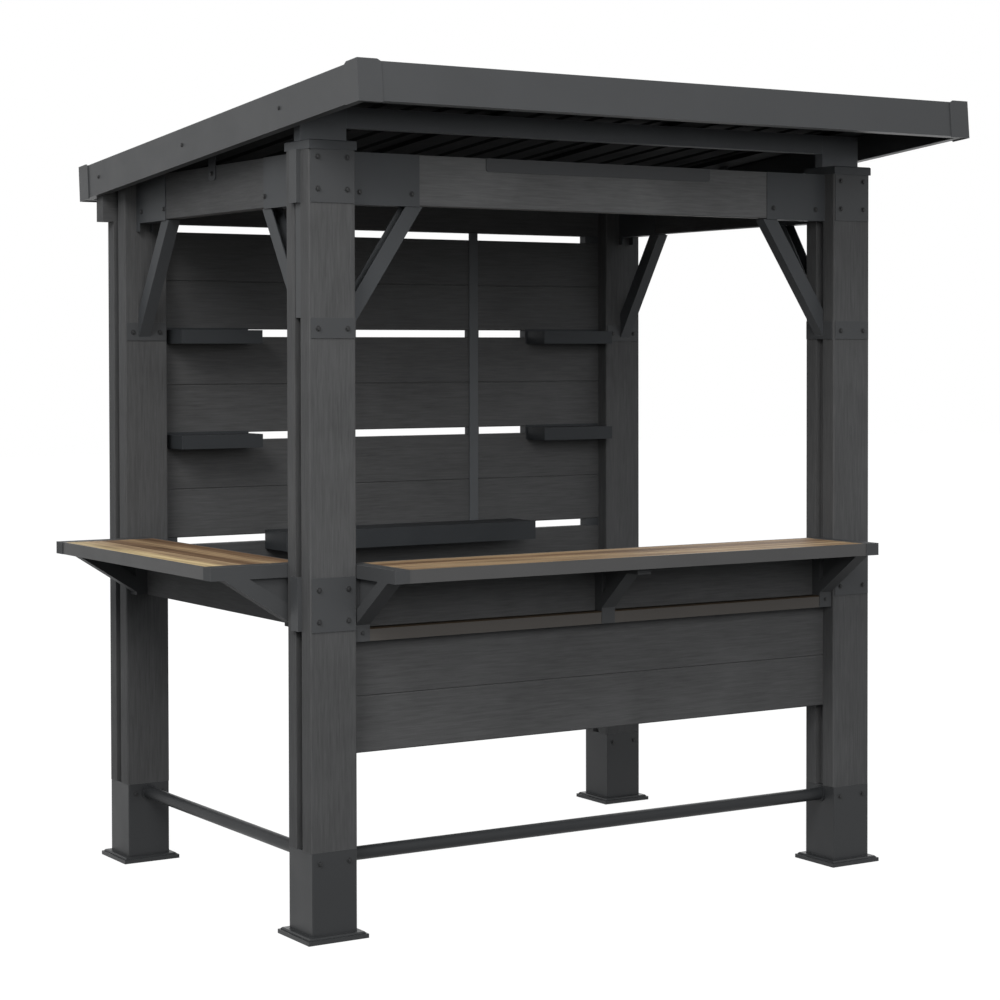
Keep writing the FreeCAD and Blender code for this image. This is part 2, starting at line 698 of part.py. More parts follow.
def to_front(shape):
    result = shape.copy()
    result.translate(V(0, -PY, 0))
    return result


def to_left(shape):
    result = shape.copy()
    result.rotate(V(0, 0, 0), V(0, 0, 1), -90)
    result.translate(V(-PX, 0, 0))
    return result


front_end = INNER_X - SEAT
left_end = INNER_Y - SEAT
front_half = front_end - BRACKET_WIDTH - SEAT
left_half = left_end - BRACKET_WIDTH - SEAT
add("front_counter_frame", to_front(counter_frame(front_half, FRONT_COUNTER_REACH)))
add("front_counter_top", to_front(counter_boards(front_half, FRONT_COUNTER_REACH)))
add("left_counter_frame", to_left(counter_frame(left_half, LEFT_COUNTER_REACH)))
add("left_counter_top", to_left(counter_boards(left_half, LEFT_COUNTER_REACH)))

# Aprons under the counters
apron_top = COUNTER_TOP - COUNTER_THICK
half_thick = BEAM_THICK / 2
add("front_apron", box(-front_end, front_end, -PY - half_thick, -PY + half_thick, APRON_BOTTOM, apron_top))
add("left_apron", box(-PX - half_thick, -PX + half_thick, -left_end, left_end, APRON_BOTTOM, apron_top))

ledge_bottom = APRON_BOTTOM - LEDGE_HEIGHT
front_arm_x = front_end - BRACKET_WIDTH / 2
left_arm_y = left_end - BRACKET_WIDTH / 2
for cx in (-front_arm_x, 0.0, front_arm_x):
    piece = bracket(FRONT_COUNTER_REACH, ledge_bottom, FRONT_STRUT_DEPTH, cx != 0.0)
    piece.translate(V(cx, 0, 0))
    add("front_counter_brackets", to_front(piece))
for cx in (-left_arm_y, left_arm_y):
    piece = bracket(LEFT_COUNTER_REACH, APRON_BOTTOM, LEFT_STRUT_DEPTH, True)
    piece.translate(V(cx, 0, 0))
    add("left_counter_brackets", to_left(piece))

# Ledge under the apron, with a board strip on its nosing between the bracket legs
nosing_y0 = -PY - BEAM_THICK / 2 - LEDGE_DEPTH
nosing_y1 = -PY - BEAM_THICK / 2
sill = box(-front_end, front_end, nosing_y1, -PY + BEAM_THICK / 2, ledge_bottom, APRON_BOTTOM)
leg_gap = BRACKET_WIDTH / 2 + SEAT
for side in (-1, 1):
    x0, x1 = sorted((side * leg_gap, side * (front_end - BRACKET_WIDTH - SEAT)))
    nosing = box(x0, x1, nosing_y0, nosing_y1, ledge_bottom, APRON_BOTTOM - LEDGE_TOP_THICK)
    sill = sill.fuse(nosing)
    strip_bottom = APRON_BOTTOM - LEDGE_TOP_THICK
    add("front_ledge_boards", box(x0, x1, nosing_y0, nosing_y1, strip_bottom, APRON_BOTTOM))
add("front_ledge", sill.removeSplitter())

# Lower front boards in the grooves of the front posts
front_boards_top = ledge_bottom
front_board_height = (front_boards_top - FRONT_BOARDS_BOTTOM) / FRONT_BOARDS
for n in range(FRONT_BOARDS):
    z0 = FRONT_BOARDS_BOTTOM + n * front_board_height
    add("front_wall_boards", wall_board(-PY - BOARD_THICK / 2, z0, z0 + front_board_height))


# Foot rails: tubes with a flange at each end, between the sockets
def make_rail(half):
    reach = half - SOCKET_SIZE / 2
    inner = reach - RAIL_FLANGE_THICK
    tube = Part.makeCylinder(RAIL_DIAMETER / 2, 2 * reach, V(-reach, 0, RAIL_Z), V(1, 0, 0))
    left = Part.makeCylinder(RAIL_FLANGE / 2, RAIL_FLANGE_THICK, V(-reach, 0, RAIL_Z), V(1, 0, 0))
    right = Part.makeCylinder(RAIL_FLANGE / 2, RAIL_FLANGE_THICK, V(inner, 0, RAIL_Z), V(1, 0, 0))
    return tube.fuse(left).fuse(right).removeSplitter()


add("foot_rails", to_front(make_rail(PX)))
add("foot_rails", to_left(make_rail(PY)))

# Power strip cover on the upper edge of the front beam
strip_face = -PY - BEAM_THICK / 2
strip_z = BEAM_TOP - STRIP_HEIGHT
strip = box(-STRIP_HALF, STRIP_HALF, strip_face - STRIP_THICK, strip_face, strip_z, BEAM_TOP)
low_edges = [e for e in strip.Edges if abs(e.BoundBox.YLength - STRIP_THICK) < 0.01
             and e.BoundBox.ZMax < BEAM_TOP - STRIP_HEIGHT + 0.01]
add("power_strip_cover", strip.makeFillet(STRIP_ROUND, low_edges))

# Write every node with the origin under the centre of the whole outline
everything = Part.makeCompound([s for shapes in nodes.values() for s in shapes])
bounds = everything.BoundBox
shift = V(-(bounds.XMin + bounds.XMax) / 2, -(bounds.YMin + bounds.YMax) / 2, -bounds.ZMin)
print("shift", [round(v, 3) for v in shift])
print("size", round(bounds.XLength, 1), round(bounds.YLength, 1), round(bounds.ZLength, 1))
total = 0.0
for name, shapes in nodes.items():
    solids = []
    for shape in shapes:
        solids.extend(shape.Solids)
    moved = Part.makeCompound(solids) if len(solids) > 1 else solids[0].copy()
    moved.translate(shift)
    total += moved.Volume
    if not moved.isValid():
        print("not valid", name)
    moved.exportStep("parts/" + name + ".step")
print("nodes", len(nodes), "volume m3", round(total / 1e9, 5))
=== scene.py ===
# %% [markdown]
# The piece is a garden bar shelter: four square posts, a sloping metal roof, a counter on
# two sides and a slatted wall behind with small shelves. Its frame comes from the CAD
# model. The first cell loads that frame and keeps each node's mesh in place. Every piece
# added later is measured against these nodes.

import math

import bmesh
import bpy
from mathutils import Matrix, Vector
from mathutils.bvhtree import BVHTree


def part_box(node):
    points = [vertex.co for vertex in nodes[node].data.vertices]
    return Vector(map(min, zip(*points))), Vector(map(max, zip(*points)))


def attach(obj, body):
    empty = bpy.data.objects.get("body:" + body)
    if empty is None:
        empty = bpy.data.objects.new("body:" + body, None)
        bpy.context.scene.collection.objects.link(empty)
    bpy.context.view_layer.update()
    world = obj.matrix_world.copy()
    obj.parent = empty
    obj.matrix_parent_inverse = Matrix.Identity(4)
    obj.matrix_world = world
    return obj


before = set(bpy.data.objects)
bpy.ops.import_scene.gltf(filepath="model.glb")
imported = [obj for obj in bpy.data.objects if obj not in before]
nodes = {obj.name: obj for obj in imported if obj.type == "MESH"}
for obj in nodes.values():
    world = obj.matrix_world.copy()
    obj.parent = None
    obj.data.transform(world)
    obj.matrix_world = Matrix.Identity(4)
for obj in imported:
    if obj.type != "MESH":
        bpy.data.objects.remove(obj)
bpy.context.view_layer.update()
scene = bpy.context.scene

# %% [markdown]
# The photograph was taken with a long lens from about eye height, in front and to the
# left. Upright lines stay upright when a camera is held level and the picture is shifted
# instead, as on an architect's camera, so the shift is used here and the tilt is small.
# The camera's turn is built from its three own directions: right, up and forward.

# %% Camera
SENSOR_MM = 36.0
LENS_MM = 86.259
PICTURE_SHIFT = -0.09355
YAW = math.radians(32.2285)
PITCH = math.radians(1.2995)
ROLL = math.radians(-0.1137)
CAMERA_PLACE = (-4.070229, -6.532894, 1.667776)

camera_data = bpy.data.cameras.new("camera")
camera_data.sensor_width = SENSOR_MM
camera_data.lens = LENS_MM
camera_data.shift_y = PICTURE_SHIFT
camera = bpy.data.objects.new("camera", camera_data)
scene.collection.objects.link(camera)
level_reach = math.cos(PITCH)
forward = Vector((math.sin(YAW) * level_reach, math.cos(YAW) * level_reach, -math.sin(PITCH)))
right = Vector((math.cos(YAW), -math.sin(YAW), 0.0))
up = right.cross(forward)
rolled_right = right * math.cos(ROLL) + up * math.sin(ROLL)
rolled_up = up * math.cos(ROLL) - right * math.sin(ROLL)
turn = Matrix((rolled_right, rolled_up, -forward)).transposed()
camera.matrix_world = Matrix.Translation(CAMERA_PLACE) @ turn.to_4x4()
scene.camera = camera
scene.view_settings.view_transform = "Standard"
print("camera", [round(v, 3) for v in camera.matrix_world.translation])

# %% [markdown]
# A product photograph of garden furniture is cut out on white, yet its shades come from
# soft light on a plain floor. Two things are kept apart for that. What lights the piece is
# a dim even sky and three large soft lamps. What the camera sees behind it, and what smooth
# metal mirrors, is white: Light Path tells those rays from the rest, here and in the floor.

# %% World
SKY_COLOUR = (0.93, 0.96, 1.0, 1.0)
SKY_STRENGTH = 0.82
WHITE = (1.0, 1.0, 1.0, 1.0)


def seen_rays(tree):
    """1 for rays that show the backdrop: from the camera, off smooth metal, through glass."""
    path = tree.nodes.new("ShaderNodeLightPath")
    first = tree.nodes.new("ShaderNodeMath")
    first.operation = "MAXIMUM"
    second = tree.nodes.new("ShaderNodeMath")
    second.operation = "MAXIMUM"
    tree.links.new(path.outputs["Is Camera Ray"], first.inputs[0])
    tree.links.new(path.outputs["Is Glossy Ray"], first.inputs[1])
    tree.links.new(first.outputs[0], second.inputs[0])
    tree.links.new(path.outputs["Is Transmission Ray"], second.inputs[1])
    return second.outputs[0]


world = bpy.data.worlds.new("studio")
scene.world = world
world.use_nodes = True
world_tree = world.node_tree
world_tree.nodes.clear()
sky = world_tree.nodes.new("ShaderNodeBackground")
sky.inputs["Color"].default_value = SKY_COLOUR
sky.inputs["Strength"].default_value = SKY_STRENGTH
backdrop = world_tree.nodes.new("ShaderNodeBackground")
backdrop.inputs["Color"].default_value = WHITE
backdrop.inputs["Strength"].default_value = 1.0
world_pick = world_tree.nodes.new("ShaderNodeMixShader")
world_out = world_tree.nodes.new("ShaderNodeOutputWorld")
world_tree.links.new(seen_rays(world_tree), world_pick.inputs["Fac"])
world_tree.links.new(sky.outputs["Background"], world_pick.inputs[1])
world_tree.links.new(backdrop.outputs["Background"], world_pick.inputs[2])
world_tree.links.new(world_pick.outputs["Shader"], world_out.inputs["Surface"])
print("sky", SKY_STRENGTH)

# %% [markdown]
# The floor is one large sheet. Seen by the camera it is nearly all white of its own accord,
# with a tenth of plain matt paint, so that a faint shadow stays under the posts. For the
# light that bounces it is a rather dark grey, because the undersides of the real roof and
# counters are nearly black, and a white floor would light them from below.

# %% Floor
FLOOR_HALF = 30.0
FLOOR_Z = -0.001
FLOOR_BOUNCE = (0.05, 0.05, 0.05, 1.0)
FLOOR_PAINT = (0.9, 0.9, 0.9, 1.0)
FLOOR_SHADE_SHARE = 0.1
FLOOR_GLOW = 1.06

corners = [(-1, -1), (1, -1), (1, 1), (-1, 1)]
floor_mesh = bpy.data.meshes.new("floor")
floor_mesh.from_pydata(
    [(x * FLOOR_HALF, y * FLOOR_HALF, FLOOR_Z) for x, y in corners], [], [(0, 1, 2, 3)])
floor = bpy.data.objects.new("floor", floor_mesh)
scene.collection.objects.link(floor)

floor_finish = bpy.data.materials.new("studio_floor")
floor_finish.use_nodes = True
floor_tree = floor_finish.node_tree
floor_tree.nodes.clear()
bounced = floor_tree.nodes.new("ShaderNodeBsdfDiffuse")
bounced.inputs["Color"].default_value = FLOOR_BOUNCE
paint = floor_tree.nodes.new("ShaderNodeBsdfDiffuse")
paint.inputs["Color"].default_value = FLOOR_PAINT
glow = floor_tree.nodes.new("ShaderNodeEmission")
glow.inputs["Color"].default_value = WHITE
glow.inputs["Strength"].default_value = FLOOR_GLOW
seen = floor_tree.nodes.new("ShaderNodeMixShader")
seen.inputs["Fac"].default_value = FLOOR_SHADE_SHARE
floor_pick = floor_tree.nodes.new("ShaderNodeMixShader")
floor_out = floor_tree.nodes.new("ShaderNodeOutputMaterial")
floor_tree.links.new(glow.outputs["Emission"], seen.inputs[1])
floor_tree.links.new(paint.outputs["BSDF"], seen.inputs[2])
floor_tree.links.new(seen_rays(floor_tree), floor_pick.inputs["Fac"])
floor_tree.links.new(bounced.outputs["BSDF"], floor_pick.inputs[1])
floor_tree.links.new(seen.outputs["Shader"], floor_pick.inputs[2])
floor_tree.links.new(floor_pick.outputs["Shader"], floor_out.inputs["Surface"])
floor.data.materials.append(floor_finish)
print("floor", 2 * FLOOR_HALF, "m square")

# %% [markdown]
# Three square lamps stand well away from the piece. A large lamp close to the size of the
# shelter gives soft edges to the shadows. The left one is the key: the left faces of the
# posts are the lightest. The front one fills the front, and the one behind and to the right
# only keeps the far sides readable when the model is turned round.

# %% Lamps
LAMP_TARGET = (0.0, 0.0, 1.2)


def area_lamp(name, place, size, power):
    """A square soft lamp at a place, turned to the shelter and hidden from the camera."""
    data = bpy.data.lights.new(name, "AREA")
    data.shape = "SQUARE"
    data.size = size
    data.energy = power
    lamp = bpy.data.objects.new(name, data)
    scene.collection.objects.link(lamp)
    lamp.location = place
    toward = Vector(LAMP_TARGET) - Vector(place)
    lamp.rotation_euler = toward.to_track_quat("-Z", "Y").to_euler()
    lamp.visible_camera = False


area_lamp("lamp_left", place=(-5.5, -3.5, 6.0), size=3.0, power=350.0)
area_lamp("lamp_front", place=(-1.8, -6.2, 3.4), size=3.0, power=176.0)
area_lamp("lamp_behind", place=(6.5, 8.5, 5.0), size=6.0, power=160.0)

# %% [markdown]
# Most finishes here share a few effects, so each effect is one node group with named
# sockets, built once and placed with its own values. This helper makes an empty group:
# in Blender 4.5 sockets are added to the group's interface, and then show on its own
# input and output nodes.

# %% Node group helper


def new_group(name, sockets_in, sockets_out):
    """A shader node group with (name, kind, value) inputs and (name, kind) outputs."""
    group = bpy.data.node_groups.new(name, "ShaderNodeTree")
    for label, kind, value in sockets_in:
        socket = group.interface.new_socket(
            name=label, in_out="INPUT", socket_type="NodeSocket" + kind)
        socket.default_value = value
    for label, kind in sockets_out:
        group.interface.new_socket(
            name=label, in_out="OUTPUT", socket_type="NodeSocket" + kind)
    return group, group.nodes.new("NodeGroupInput"), group.nodes.new("NodeGroupOutput")


print("helper for groups ready")

# %% [markdown]
# A group is mostly arithmetic on textures. Three small helpers keep it readable: one adds
# a Math node, one a noise texture and one a blend of two colours. Each returns the socket
# with its result, so that they can be nested like sums on paper.

# %% Small node helpers


def maths(tree, operation, a, b):
    """A Math node; a and b are sockets or numbers."""
    node = tree.nodes.new("ShaderNodeMath")
    node.operation = operation
    for slot, value in enumerate((a, b)):
        if isinstance(value, (int, float)):
            node.inputs[slot].default_value = value
        else:
            tree.links.new(value, node.inputs[slot])
    return node.outputs[0]


def noise(tree, vector, scale, detail, roughness, distortion=0.0):
    """A 3D noise texture; its value lies mostly between 0.3 and 0.7."""
    node = tree.nodes.new("ShaderNodeTexNoise")
    node.inputs["Scale"].default_value = scale
    node.inputs["Detail"].default_value = detail
    node.inputs["Roughness"].default_value = roughness
    node.inputs["Distortion"].default_value = distortion
    tree.links.new(vector, node.inputs["Vector"])
    return node.outputs["Fac"]


def mix_colours(tree, share, first, second):
    """Blends two colours by a share from 0 to 1; all three are sockets."""
    node = tree.nodes.new("ShaderNodeMix")
    node.data_type = "RGBA"
    node.clamp_factor = True
    for index, value in ((0, share), (6, first), (7, second)):
        tree.links.new(value, node.inputs[index])
    return node.outputs[2]


print("helpers for sums, noise and blends ready")

# %% [markdown]
# The posts, beams and boards look like wood composite, pressed with a fine grain that runs
# the length of each board. Noise that is stretched along the board gives streaks; a slower
# noise adds the soft cloudy patches of the pressed surface, and a fine one the pores. The
# stretch is an input, so the same group serves upright posts and level boards.

# %% Group: grain along a board
MIDDLE = 0.5
PORE_SHARE = 0.3
STREAK_SHARE = 0.7
GRAIN_ROUGHNESS = 0.5

grain_group, grain_in, grain_out = new_group(
    "grain_along",
    [("Position", "Vector", (0.0, 0.0, 0.0)), ("Stretch", "Vector", (1.0, 1.0, 1.0)),
     ("Dark", "Color", (0.05, 0.05, 0.05, 1.0)), ("Pale", "Color", (0.1, 0.1, 0.1, 1.0)),
     ("Streaks", "Float", 1.0), ("Clouds", "Float", 1.0)],
    [("Color", "Color"), ("Height", "Float"), ("Roughness", "Float")],
)
stretched = grain_group.nodes.new("ShaderNodeVectorMath")
stretched.operation = "MULTIPLY"
grain_group.links.new(grain_in.outputs["Position"], stretched.inputs[0])
grain_group.links.new(grain_in.outputs["Stretch"], stretched.inputs[1])
long_place = stretched.outputs["Vector"]
streaks = noise(grain_group, long_place, scale=1.0, detail=5.0, roughness=0.65, distortion=0.35)
pores = noise(grain_group, long_place, scale=3.6, detail=3.0, roughness=0.6)
clouds = noise(grain_group, grain_in.outputs["Position"],
               scale=3.2, detail=3.0, roughness=0.5, distortion=0.6)
streak_part = maths(grain_group, "MULTIPLY", maths(grain_group, "SUBTRACT", streaks, MIDDLE),
                    grain_in.outputs["Streaks"])
cloud_part = maths(grain_group, "MULTIPLY", maths(grain_group, "SUBTRACT", clouds, MIDDLE),
                   grain_in.outputs["Clouds"])
pale_share = maths(grain_group, "ADD", maths(grain_group, "ADD", streak_part, cloud_part), MIDDLE)
grain_colour = mix_colours(grain_group, pale_share, grain_in.outputs["Dark"], grain_in.outputs["Pale"])
pore_part = maths(grain_group, "MULTIPLY", pores, PORE_SHARE)
relief = maths(grain_group, "ADD", maths(grain_group, "MULTIPLY", streaks, STREAK_SHARE), pore_part)
dull = maths(grain_group, "ADD", pore_part, GRAIN_ROUGHNESS)
grain_group.links.new(grain_colour, grain_out.inputs["Color"])
grain_group.links.new(relief, grain_out.inputs["Height"])
grain_group.links.new(dull, grain_out.inputs["Roughness"])
print("group", grain_group.name, len(grain_group.nodes), "nodes")

# %% [markdown]
# The steel is powder coated. A powder coat is never quite smooth: it melts into a skin like
# very fine orange peel, it is a touch lighter where it is thick, and its gloss varies a
# little. One group gives all three from two noises, at a size set in metres.

# %% Group: powder coat
PATCH_LOW = 0.3
PATCH_HIGH = 0.7

coat_group, coat_in, coat_out = new_group(
    "coat_texture",
    [("Position", "Vector", (0.0, 0.0, 0.0)), ("Color", "Color", (0.05, 0.05, 0.05, 1.0)),
     ("Mottle", "Float", 0.2), ("Gloss Low", "Float", 0.4), ("Gloss High", "Float", 0.55)],
    [("Color", "Color"), ("Height", "Float"), ("Roughness", "Float")],
)
peel = noise(coat_group, coat_in.outputs["Position"], scale=420.0, detail=2.0, roughness=0.5)
patches = noise(coat_group, coat_in.outputs["Position"],
                scale=5.0, detail=4.0, roughness=0.6, distortion=0.4)
lift = maths(coat_group, "MULTIPLY", maths(coat_group, "SUBTRACT", patches, MIDDLE),
             coat_in.outputs["Mottle"])
brighter = maths(coat_group, "ADD", lift, 1.0)
tinted = coat_group.nodes.new("ShaderNodeVectorMath")
tinted.operation = "SCALE"
coat_group.links.new(coat_in.outputs["Color"], tinted.inputs[0])
coat_group.links.new(brighter, tinted.inputs["Scale"])
gloss = coat_group.nodes.new("ShaderNodeMapRange")
gloss.inputs["From Min"].default_value = PATCH_LOW
gloss.inputs["From Max"].default_value = PATCH_HIGH
coat_group.links.new(patches, gloss.inputs["Value"])
coat_group.links.new(coat_in.outputs["Gloss Low"], gloss.inputs["To Min"])
coat_group.links.new(coat_in.outputs["Gloss High"], gloss.inputs["To Max"])
coat_group.links.new(tinted.outputs["Vector"], coat_out.inputs["Color"])
coat_group.links.new(peel, coat_out.inputs["Height"])
coat_group.links.new(gloss.outputs["Result"], coat_out.inputs["Roughness"])
print("group", coat_group.name, len(coat_group.nodes), "nodes")

# %% [markdown]
# Folded steel and sawn boards both catch the light on their edges, and that highlight is
# painted into the colour here. The Bevel node looks about two millimetres round each point;
# where the normal it finds differs from the true one, there is an edge. The group turns
# that difference into a mask and paints the finish a little lighter there, as a highlight.

# %% Group: painted highlight on edges
BEVEL_SAMPLES = 3
EDGE_GAIN = 4.0

# Painted highlight: a lighter colour along every edge.
edge_highlight_group, edge_highlight_in, edge_highlight_out = new_group(
    "painted_edge_highlight",
    [("Color", "Color", (0.05, 0.05, 0.05, 1.0)), ("Highlight", "Color", (0.2, 0.2, 0.2, 1.0)),
     ("Amount", "Float", 0.5), ("Width", "Float", 0.002)],
    [("Color", "Color")],
)
soft_edge = edge_highlight_group.nodes.new("ShaderNodeBevel")
soft_edge.samples = BEVEL_SAMPLES
edge_highlight_group.links.new(edge_highlight_in.outputs["Width"], soft_edge.inputs["Radius"])
true_face = edge_highlight_group.nodes.new("ShaderNodeNewGeometry")
likeness = edge_highlight_group.nodes.new("ShaderNodeVectorMath")
likeness.operation = "DOT_PRODUCT"
edge_highlight_group.links.new(soft_edge.outputs["Normal"], likeness.inputs[0])
edge_highlight_group.links.new(true_face.outputs["True Normal"], likeness.inputs[1])
unlike = maths(edge_highlight_group, "SUBTRACT", 1.0, likeness.outputs["Value"])
highlight_amount = maths(edge_highlight_group, "MULTIPLY", maths(edge_highlight_group, "MULTIPLY", unlike, EDGE_GAIN),
            edge_highlight_in.outputs["Amount"])
highlight_mask = maths(edge_highlight_group, "MINIMUM", highlight_amount, 1.0)
highlighted_colour = mix_colours(edge_highlight_group, highlight_mask, edge_highlight_in.outputs["Color"], edge_highlight_in.outputs["Highlight"])
edge_highlight_group.links.new(highlighted_colour, edge_highlight_out.inputs["Color"])
print("group", edge_highlight_group.name, len(edge_highlight_group.nodes), "nodes")

# %% [markdown]
# Every material starts the same way: an object position in metres, so that a grain of a
# given size stays that size on every piece, a Principled shader, and a Bump node. Numbers
# that hold for the whole surface are set on the shader itself. The painted edge highlight
# comes last in all of them, so one helper puts it between a colour and the shader.

# %% Material starter


def start_material(name, bump_height, specular):
    """A material with a position, a shader and a bump whose relief is in metres."""
    material = bpy.data.materials.new(name)
    material.use_nodes = True
    tree = material.node_tree
    shader = tree.nodes["Principled BSDF"]
    shader.inputs["Specular IOR Level"].default_value = specular
    place = tree.nodes.new("ShaderNodeTexCoord")
    bump = tree.nodes.new("ShaderNodeBump")
    bump.inputs["Strength"].default_value = 1.0
    bump.inputs["Distance"].default_value = bump_height
    tree.links.new(bump.outputs["Normal"], shader.inputs["Normal"])
    return material, tree, shader, place.outputs["Object"], bump


def add_group(tree, group, values, links):
    """Places a group in a material, sets its numbers and links its inputs."""
    node = tree.nodes.new("ShaderNodeGroup")
    node.node_tree = group
    for label, value in values.items():
        node.inputs[label].default_value = value
    for label, socket in links.items():
        tree.links.new(socket, node.inputs[label])
    return node


def join_surface(tree, shader, bump, texture, highlight_colour, amount, width):
    """Links a texture group to the shader, with a painted highlight along the edges."""
    highlight_node = add_group(
        tree, edge_highlight_group, {"Highlight": highlight_colour, "Amount": amount, "Width": width},
        {"Color": texture.outputs["Color"]},
    )
    tree.links.new(highlight_node.outputs["Color"], shader.inputs["Base Color"])
    tree.links.new(texture.outputs["Roughness"], shader.inputs["Roughness"])
    tree.links.new(texture.outputs["Height"], bump.inputs["Height"])


def grey(level, warmth):
    """A near-neutral colour; a positive warmth leans to brown, a negative one to blue."""
    return (level * (1 + warmth), level, level * (1 - warmth), 1.0)


print("material helpers ready")

# %% [markdown]
# The dark boards come in three directions. Along the board the grain is stretched out,
# about a hand's width long and a few millimetres across. The colour is a charcoal grey
# without a tint, and the spread between dark and pale is small: the grain is just visible
# on a post and hardly at all in the shade of the roof. The front beam is lighter than the
# rest, as painted light, and cloudier. The boards in the ledge are brown, darkened to
# nearly black as painted shade under the counter.

# %% Dark board finish
ALONG = 10.0
ACROSS = 170.0
BOARD_LEVEL = 0.065
# Painted light: the front beam is made lighter than the other boards.
BEAM_PAINTED_LIGHT_LEVEL = BOARD_LEVEL * 1.45
# Painted shade: the ledge's brown boards are made nearly black.
LEDGE_PAINTED_SHADE_LEVEL = 0.012
LEDGE_ALONG = 1.6
LEDGE_ACROSS = 60.0
BOARD_SPREAD = 0.5
BOARD_RELIEF = 0.0004
BOARD_SPECULAR = 0.1
# Painted highlight along the board edges: its colour, amount and width.
BOARD_HIGHLIGHT_GAIN = 1.7
BOARD_HIGHLIGHT_AMOUNT = 0.35
BOARD_HIGHLIGHT_WIDTH = 0.0025


def board_finish(name, stretch, level, warmth=0.0, streak=0.8, cloud=0.5):
    """A dark board with its grain along one axis."""
    material, tree, shader, place, bump = start_material(name, BOARD_RELIEF, BOARD_SPECULAR)
    grain = add_group(
        tree, grain_group,
        {"Stretch": stretch, "Dark": grey(level * (1 - BOARD_SPREAD), warmth),
         "Pale": grey(level * (1 + BOARD_SPREAD), warmth), "Streaks": streak, "Clouds": cloud},
        {"Position": place},
    )
    highlight_colour = grey(level * BOARD_HIGHLIGHT_GAIN, warmth)
    join_surface(tree, shader, bump, grain, highlight_colour, BOARD_HIGHLIGHT_AMOUNT, BOARD_HIGHLIGHT_WIDTH)
    return material


boards_level = board_finish("boards_level", (ALONG, ACROSS, ACROSS), BOARD_LEVEL)
# The front beam's boards: a lighter copy, painted light.
boards_beam_painted_light = board_finish("boards_beam_painted_light", (ALONG, ACROSS, ACROSS), BEAM_PAINTED_LIGHT_LEVEL, cloud=0.8)
boards_deep = board_finish("boards_deep", (ACROSS, ALONG, ACROSS), BOARD_LEVEL)
boards_upright = board_finish("boards_upright", (ACROSS, ACROSS, ALONG), BOARD_LEVEL)
# The ledge boards keep a warm brown tint; their near-black level is painted shade.
ledge_wood_painted_shade = board_finish("ledge_wood_painted_shade", (LEDGE_ALONG, LEDGE_ACROSS, LEDGE_ACROSS), LEDGE_PAINTED_SHADE_LEVEL,
                          warmth=0.5, streak=2.0)
print("board finishes", boards_level.name, boards_deep.name, boards_upright.name)

# %% [markdown]
# The steel parts share one coat in slightly different tones. The frame is a cool dark
# grey, the roof edge is shinier and more even, the roof sheet is nearly black, and the
# ledge under the counter leans to brown. The feet and rails are darker, and so are the
# shelves: painted shade. The risers, the header and the battens are lighter, as painted
# light in the shade of the roof. The shine of a powder coat is the plain kind of a paint,
# not of bare metal, so the shader stays non-metallic.

# %% Coated steel finish
COAT_RELIEF = 0.00012
# Painted highlight along the steel edges: its colour and width.
COAT_HIGHLIGHT_GAIN = 2.0
COAT_HIGHLIGHT_WIDTH = 0.0015


def coat_finish(name, level, warmth, low, high, specular, mottle=0.25, highlight_amount=0.35):
    """Powder coated steel in one shade; its roughness varies from low to high."""
    material, tree, shader, place, bump = start_material(name, COAT_RELIEF, specular)
    coat = add_group(
        tree, coat_group,
        {"Color": grey(level, warmth), "Mottle": mottle, "Gloss Low": low, "Gloss High": high},
        {"Position": place},
    )
    join_surface(tree, shader, bump, coat, grey(level * COAT_HIGHLIGHT_GAIN, warmth), highlight_amount, COAT_HIGHLIGHT_WIDTH)
    return material


frame_coat = coat_finish("frame_coat", 0.05, -0.05, 0.4, 0.52, specular=0.14)
# Painted shade: the feet and rails are darker copies of the frame coat.
foot_painted_shade_coat = coat_finish("foot_painted_shade_coat", 0.026, -0.04, 0.38, 0.5, specular=0.25)
rail_painted_shade_coat = coat_finish("rail_painted_shade_coat", 0.022, -0.05, 0.4, 0.5, specular=0.2)
# Painted shade: the shelves are a darker copy of the frame coat.
shelf_painted_shade_coat = coat_finish("shelf_painted_shade_coat", 0.032, -0.07, 0.42, 0.54, specular=0.12)
# Painted light: the battens are a lighter copy of the frame coat.
batten_painted_light_coat = coat_finish("batten_painted_light_coat", 0.085, -0.04, 0.42, 0.54, specular=0.12)
bracket_coat = coat_finish("bracket_coat", 0.055, -0.02, 0.5, 0.62, specular=0.06)
plate_coat = coat_finish("plate_coat", 0.048, -0.03, 0.4, 0.52, specular=0.18)
fascia_coat = coat_finish("fascia_coat", 0.043, -0.03, 0.38, 0.5, specular=0.25, mottle=0.15)
roof_coat = coat_finish("roof_coat", 0.011, -0.04, 0.6, 0.75, specular=0.02)
# Painted light: the risers and the header are a lighter copy of the frame coat.
risers_painted_light_coat = coat_finish("risers_painted_light_coat", 0.13, -0.04, 0.5, 0.65, specular=0.06)
counter_coat = coat_finish("counter_coat", 0.058, 0.015, 0.4, 0.52, specular=0.22)
ledge_coat = coat_finish("ledge_coat", 0.066, 0.09, 0.52, 0.64, specular=0.1)
# The bolts get a stronger painted highlight on their edges.
bolt_coat = coat_finish("bolt_coat", 0.018, -0.02, 0.38, 0.5, specular=0.25, highlight_amount=0.8)
print("coats", [m.name for m in (frame_coat, foot_painted_shade_coat, plate_coat, fascia_coat, roof_coat)])

# %% [markdown]
# The counters are decked with wood boards laid along each counter. Neighbouring boards
# differ in tone, from pale straw to brown, and each has long streaks of its own. A ramp
# over the place across the counter gives each board its tone, which the grain then darkens
# and lightens. The same place, rounded down to a board's number, moves the grain along, so
# that no streak crosses a joint.

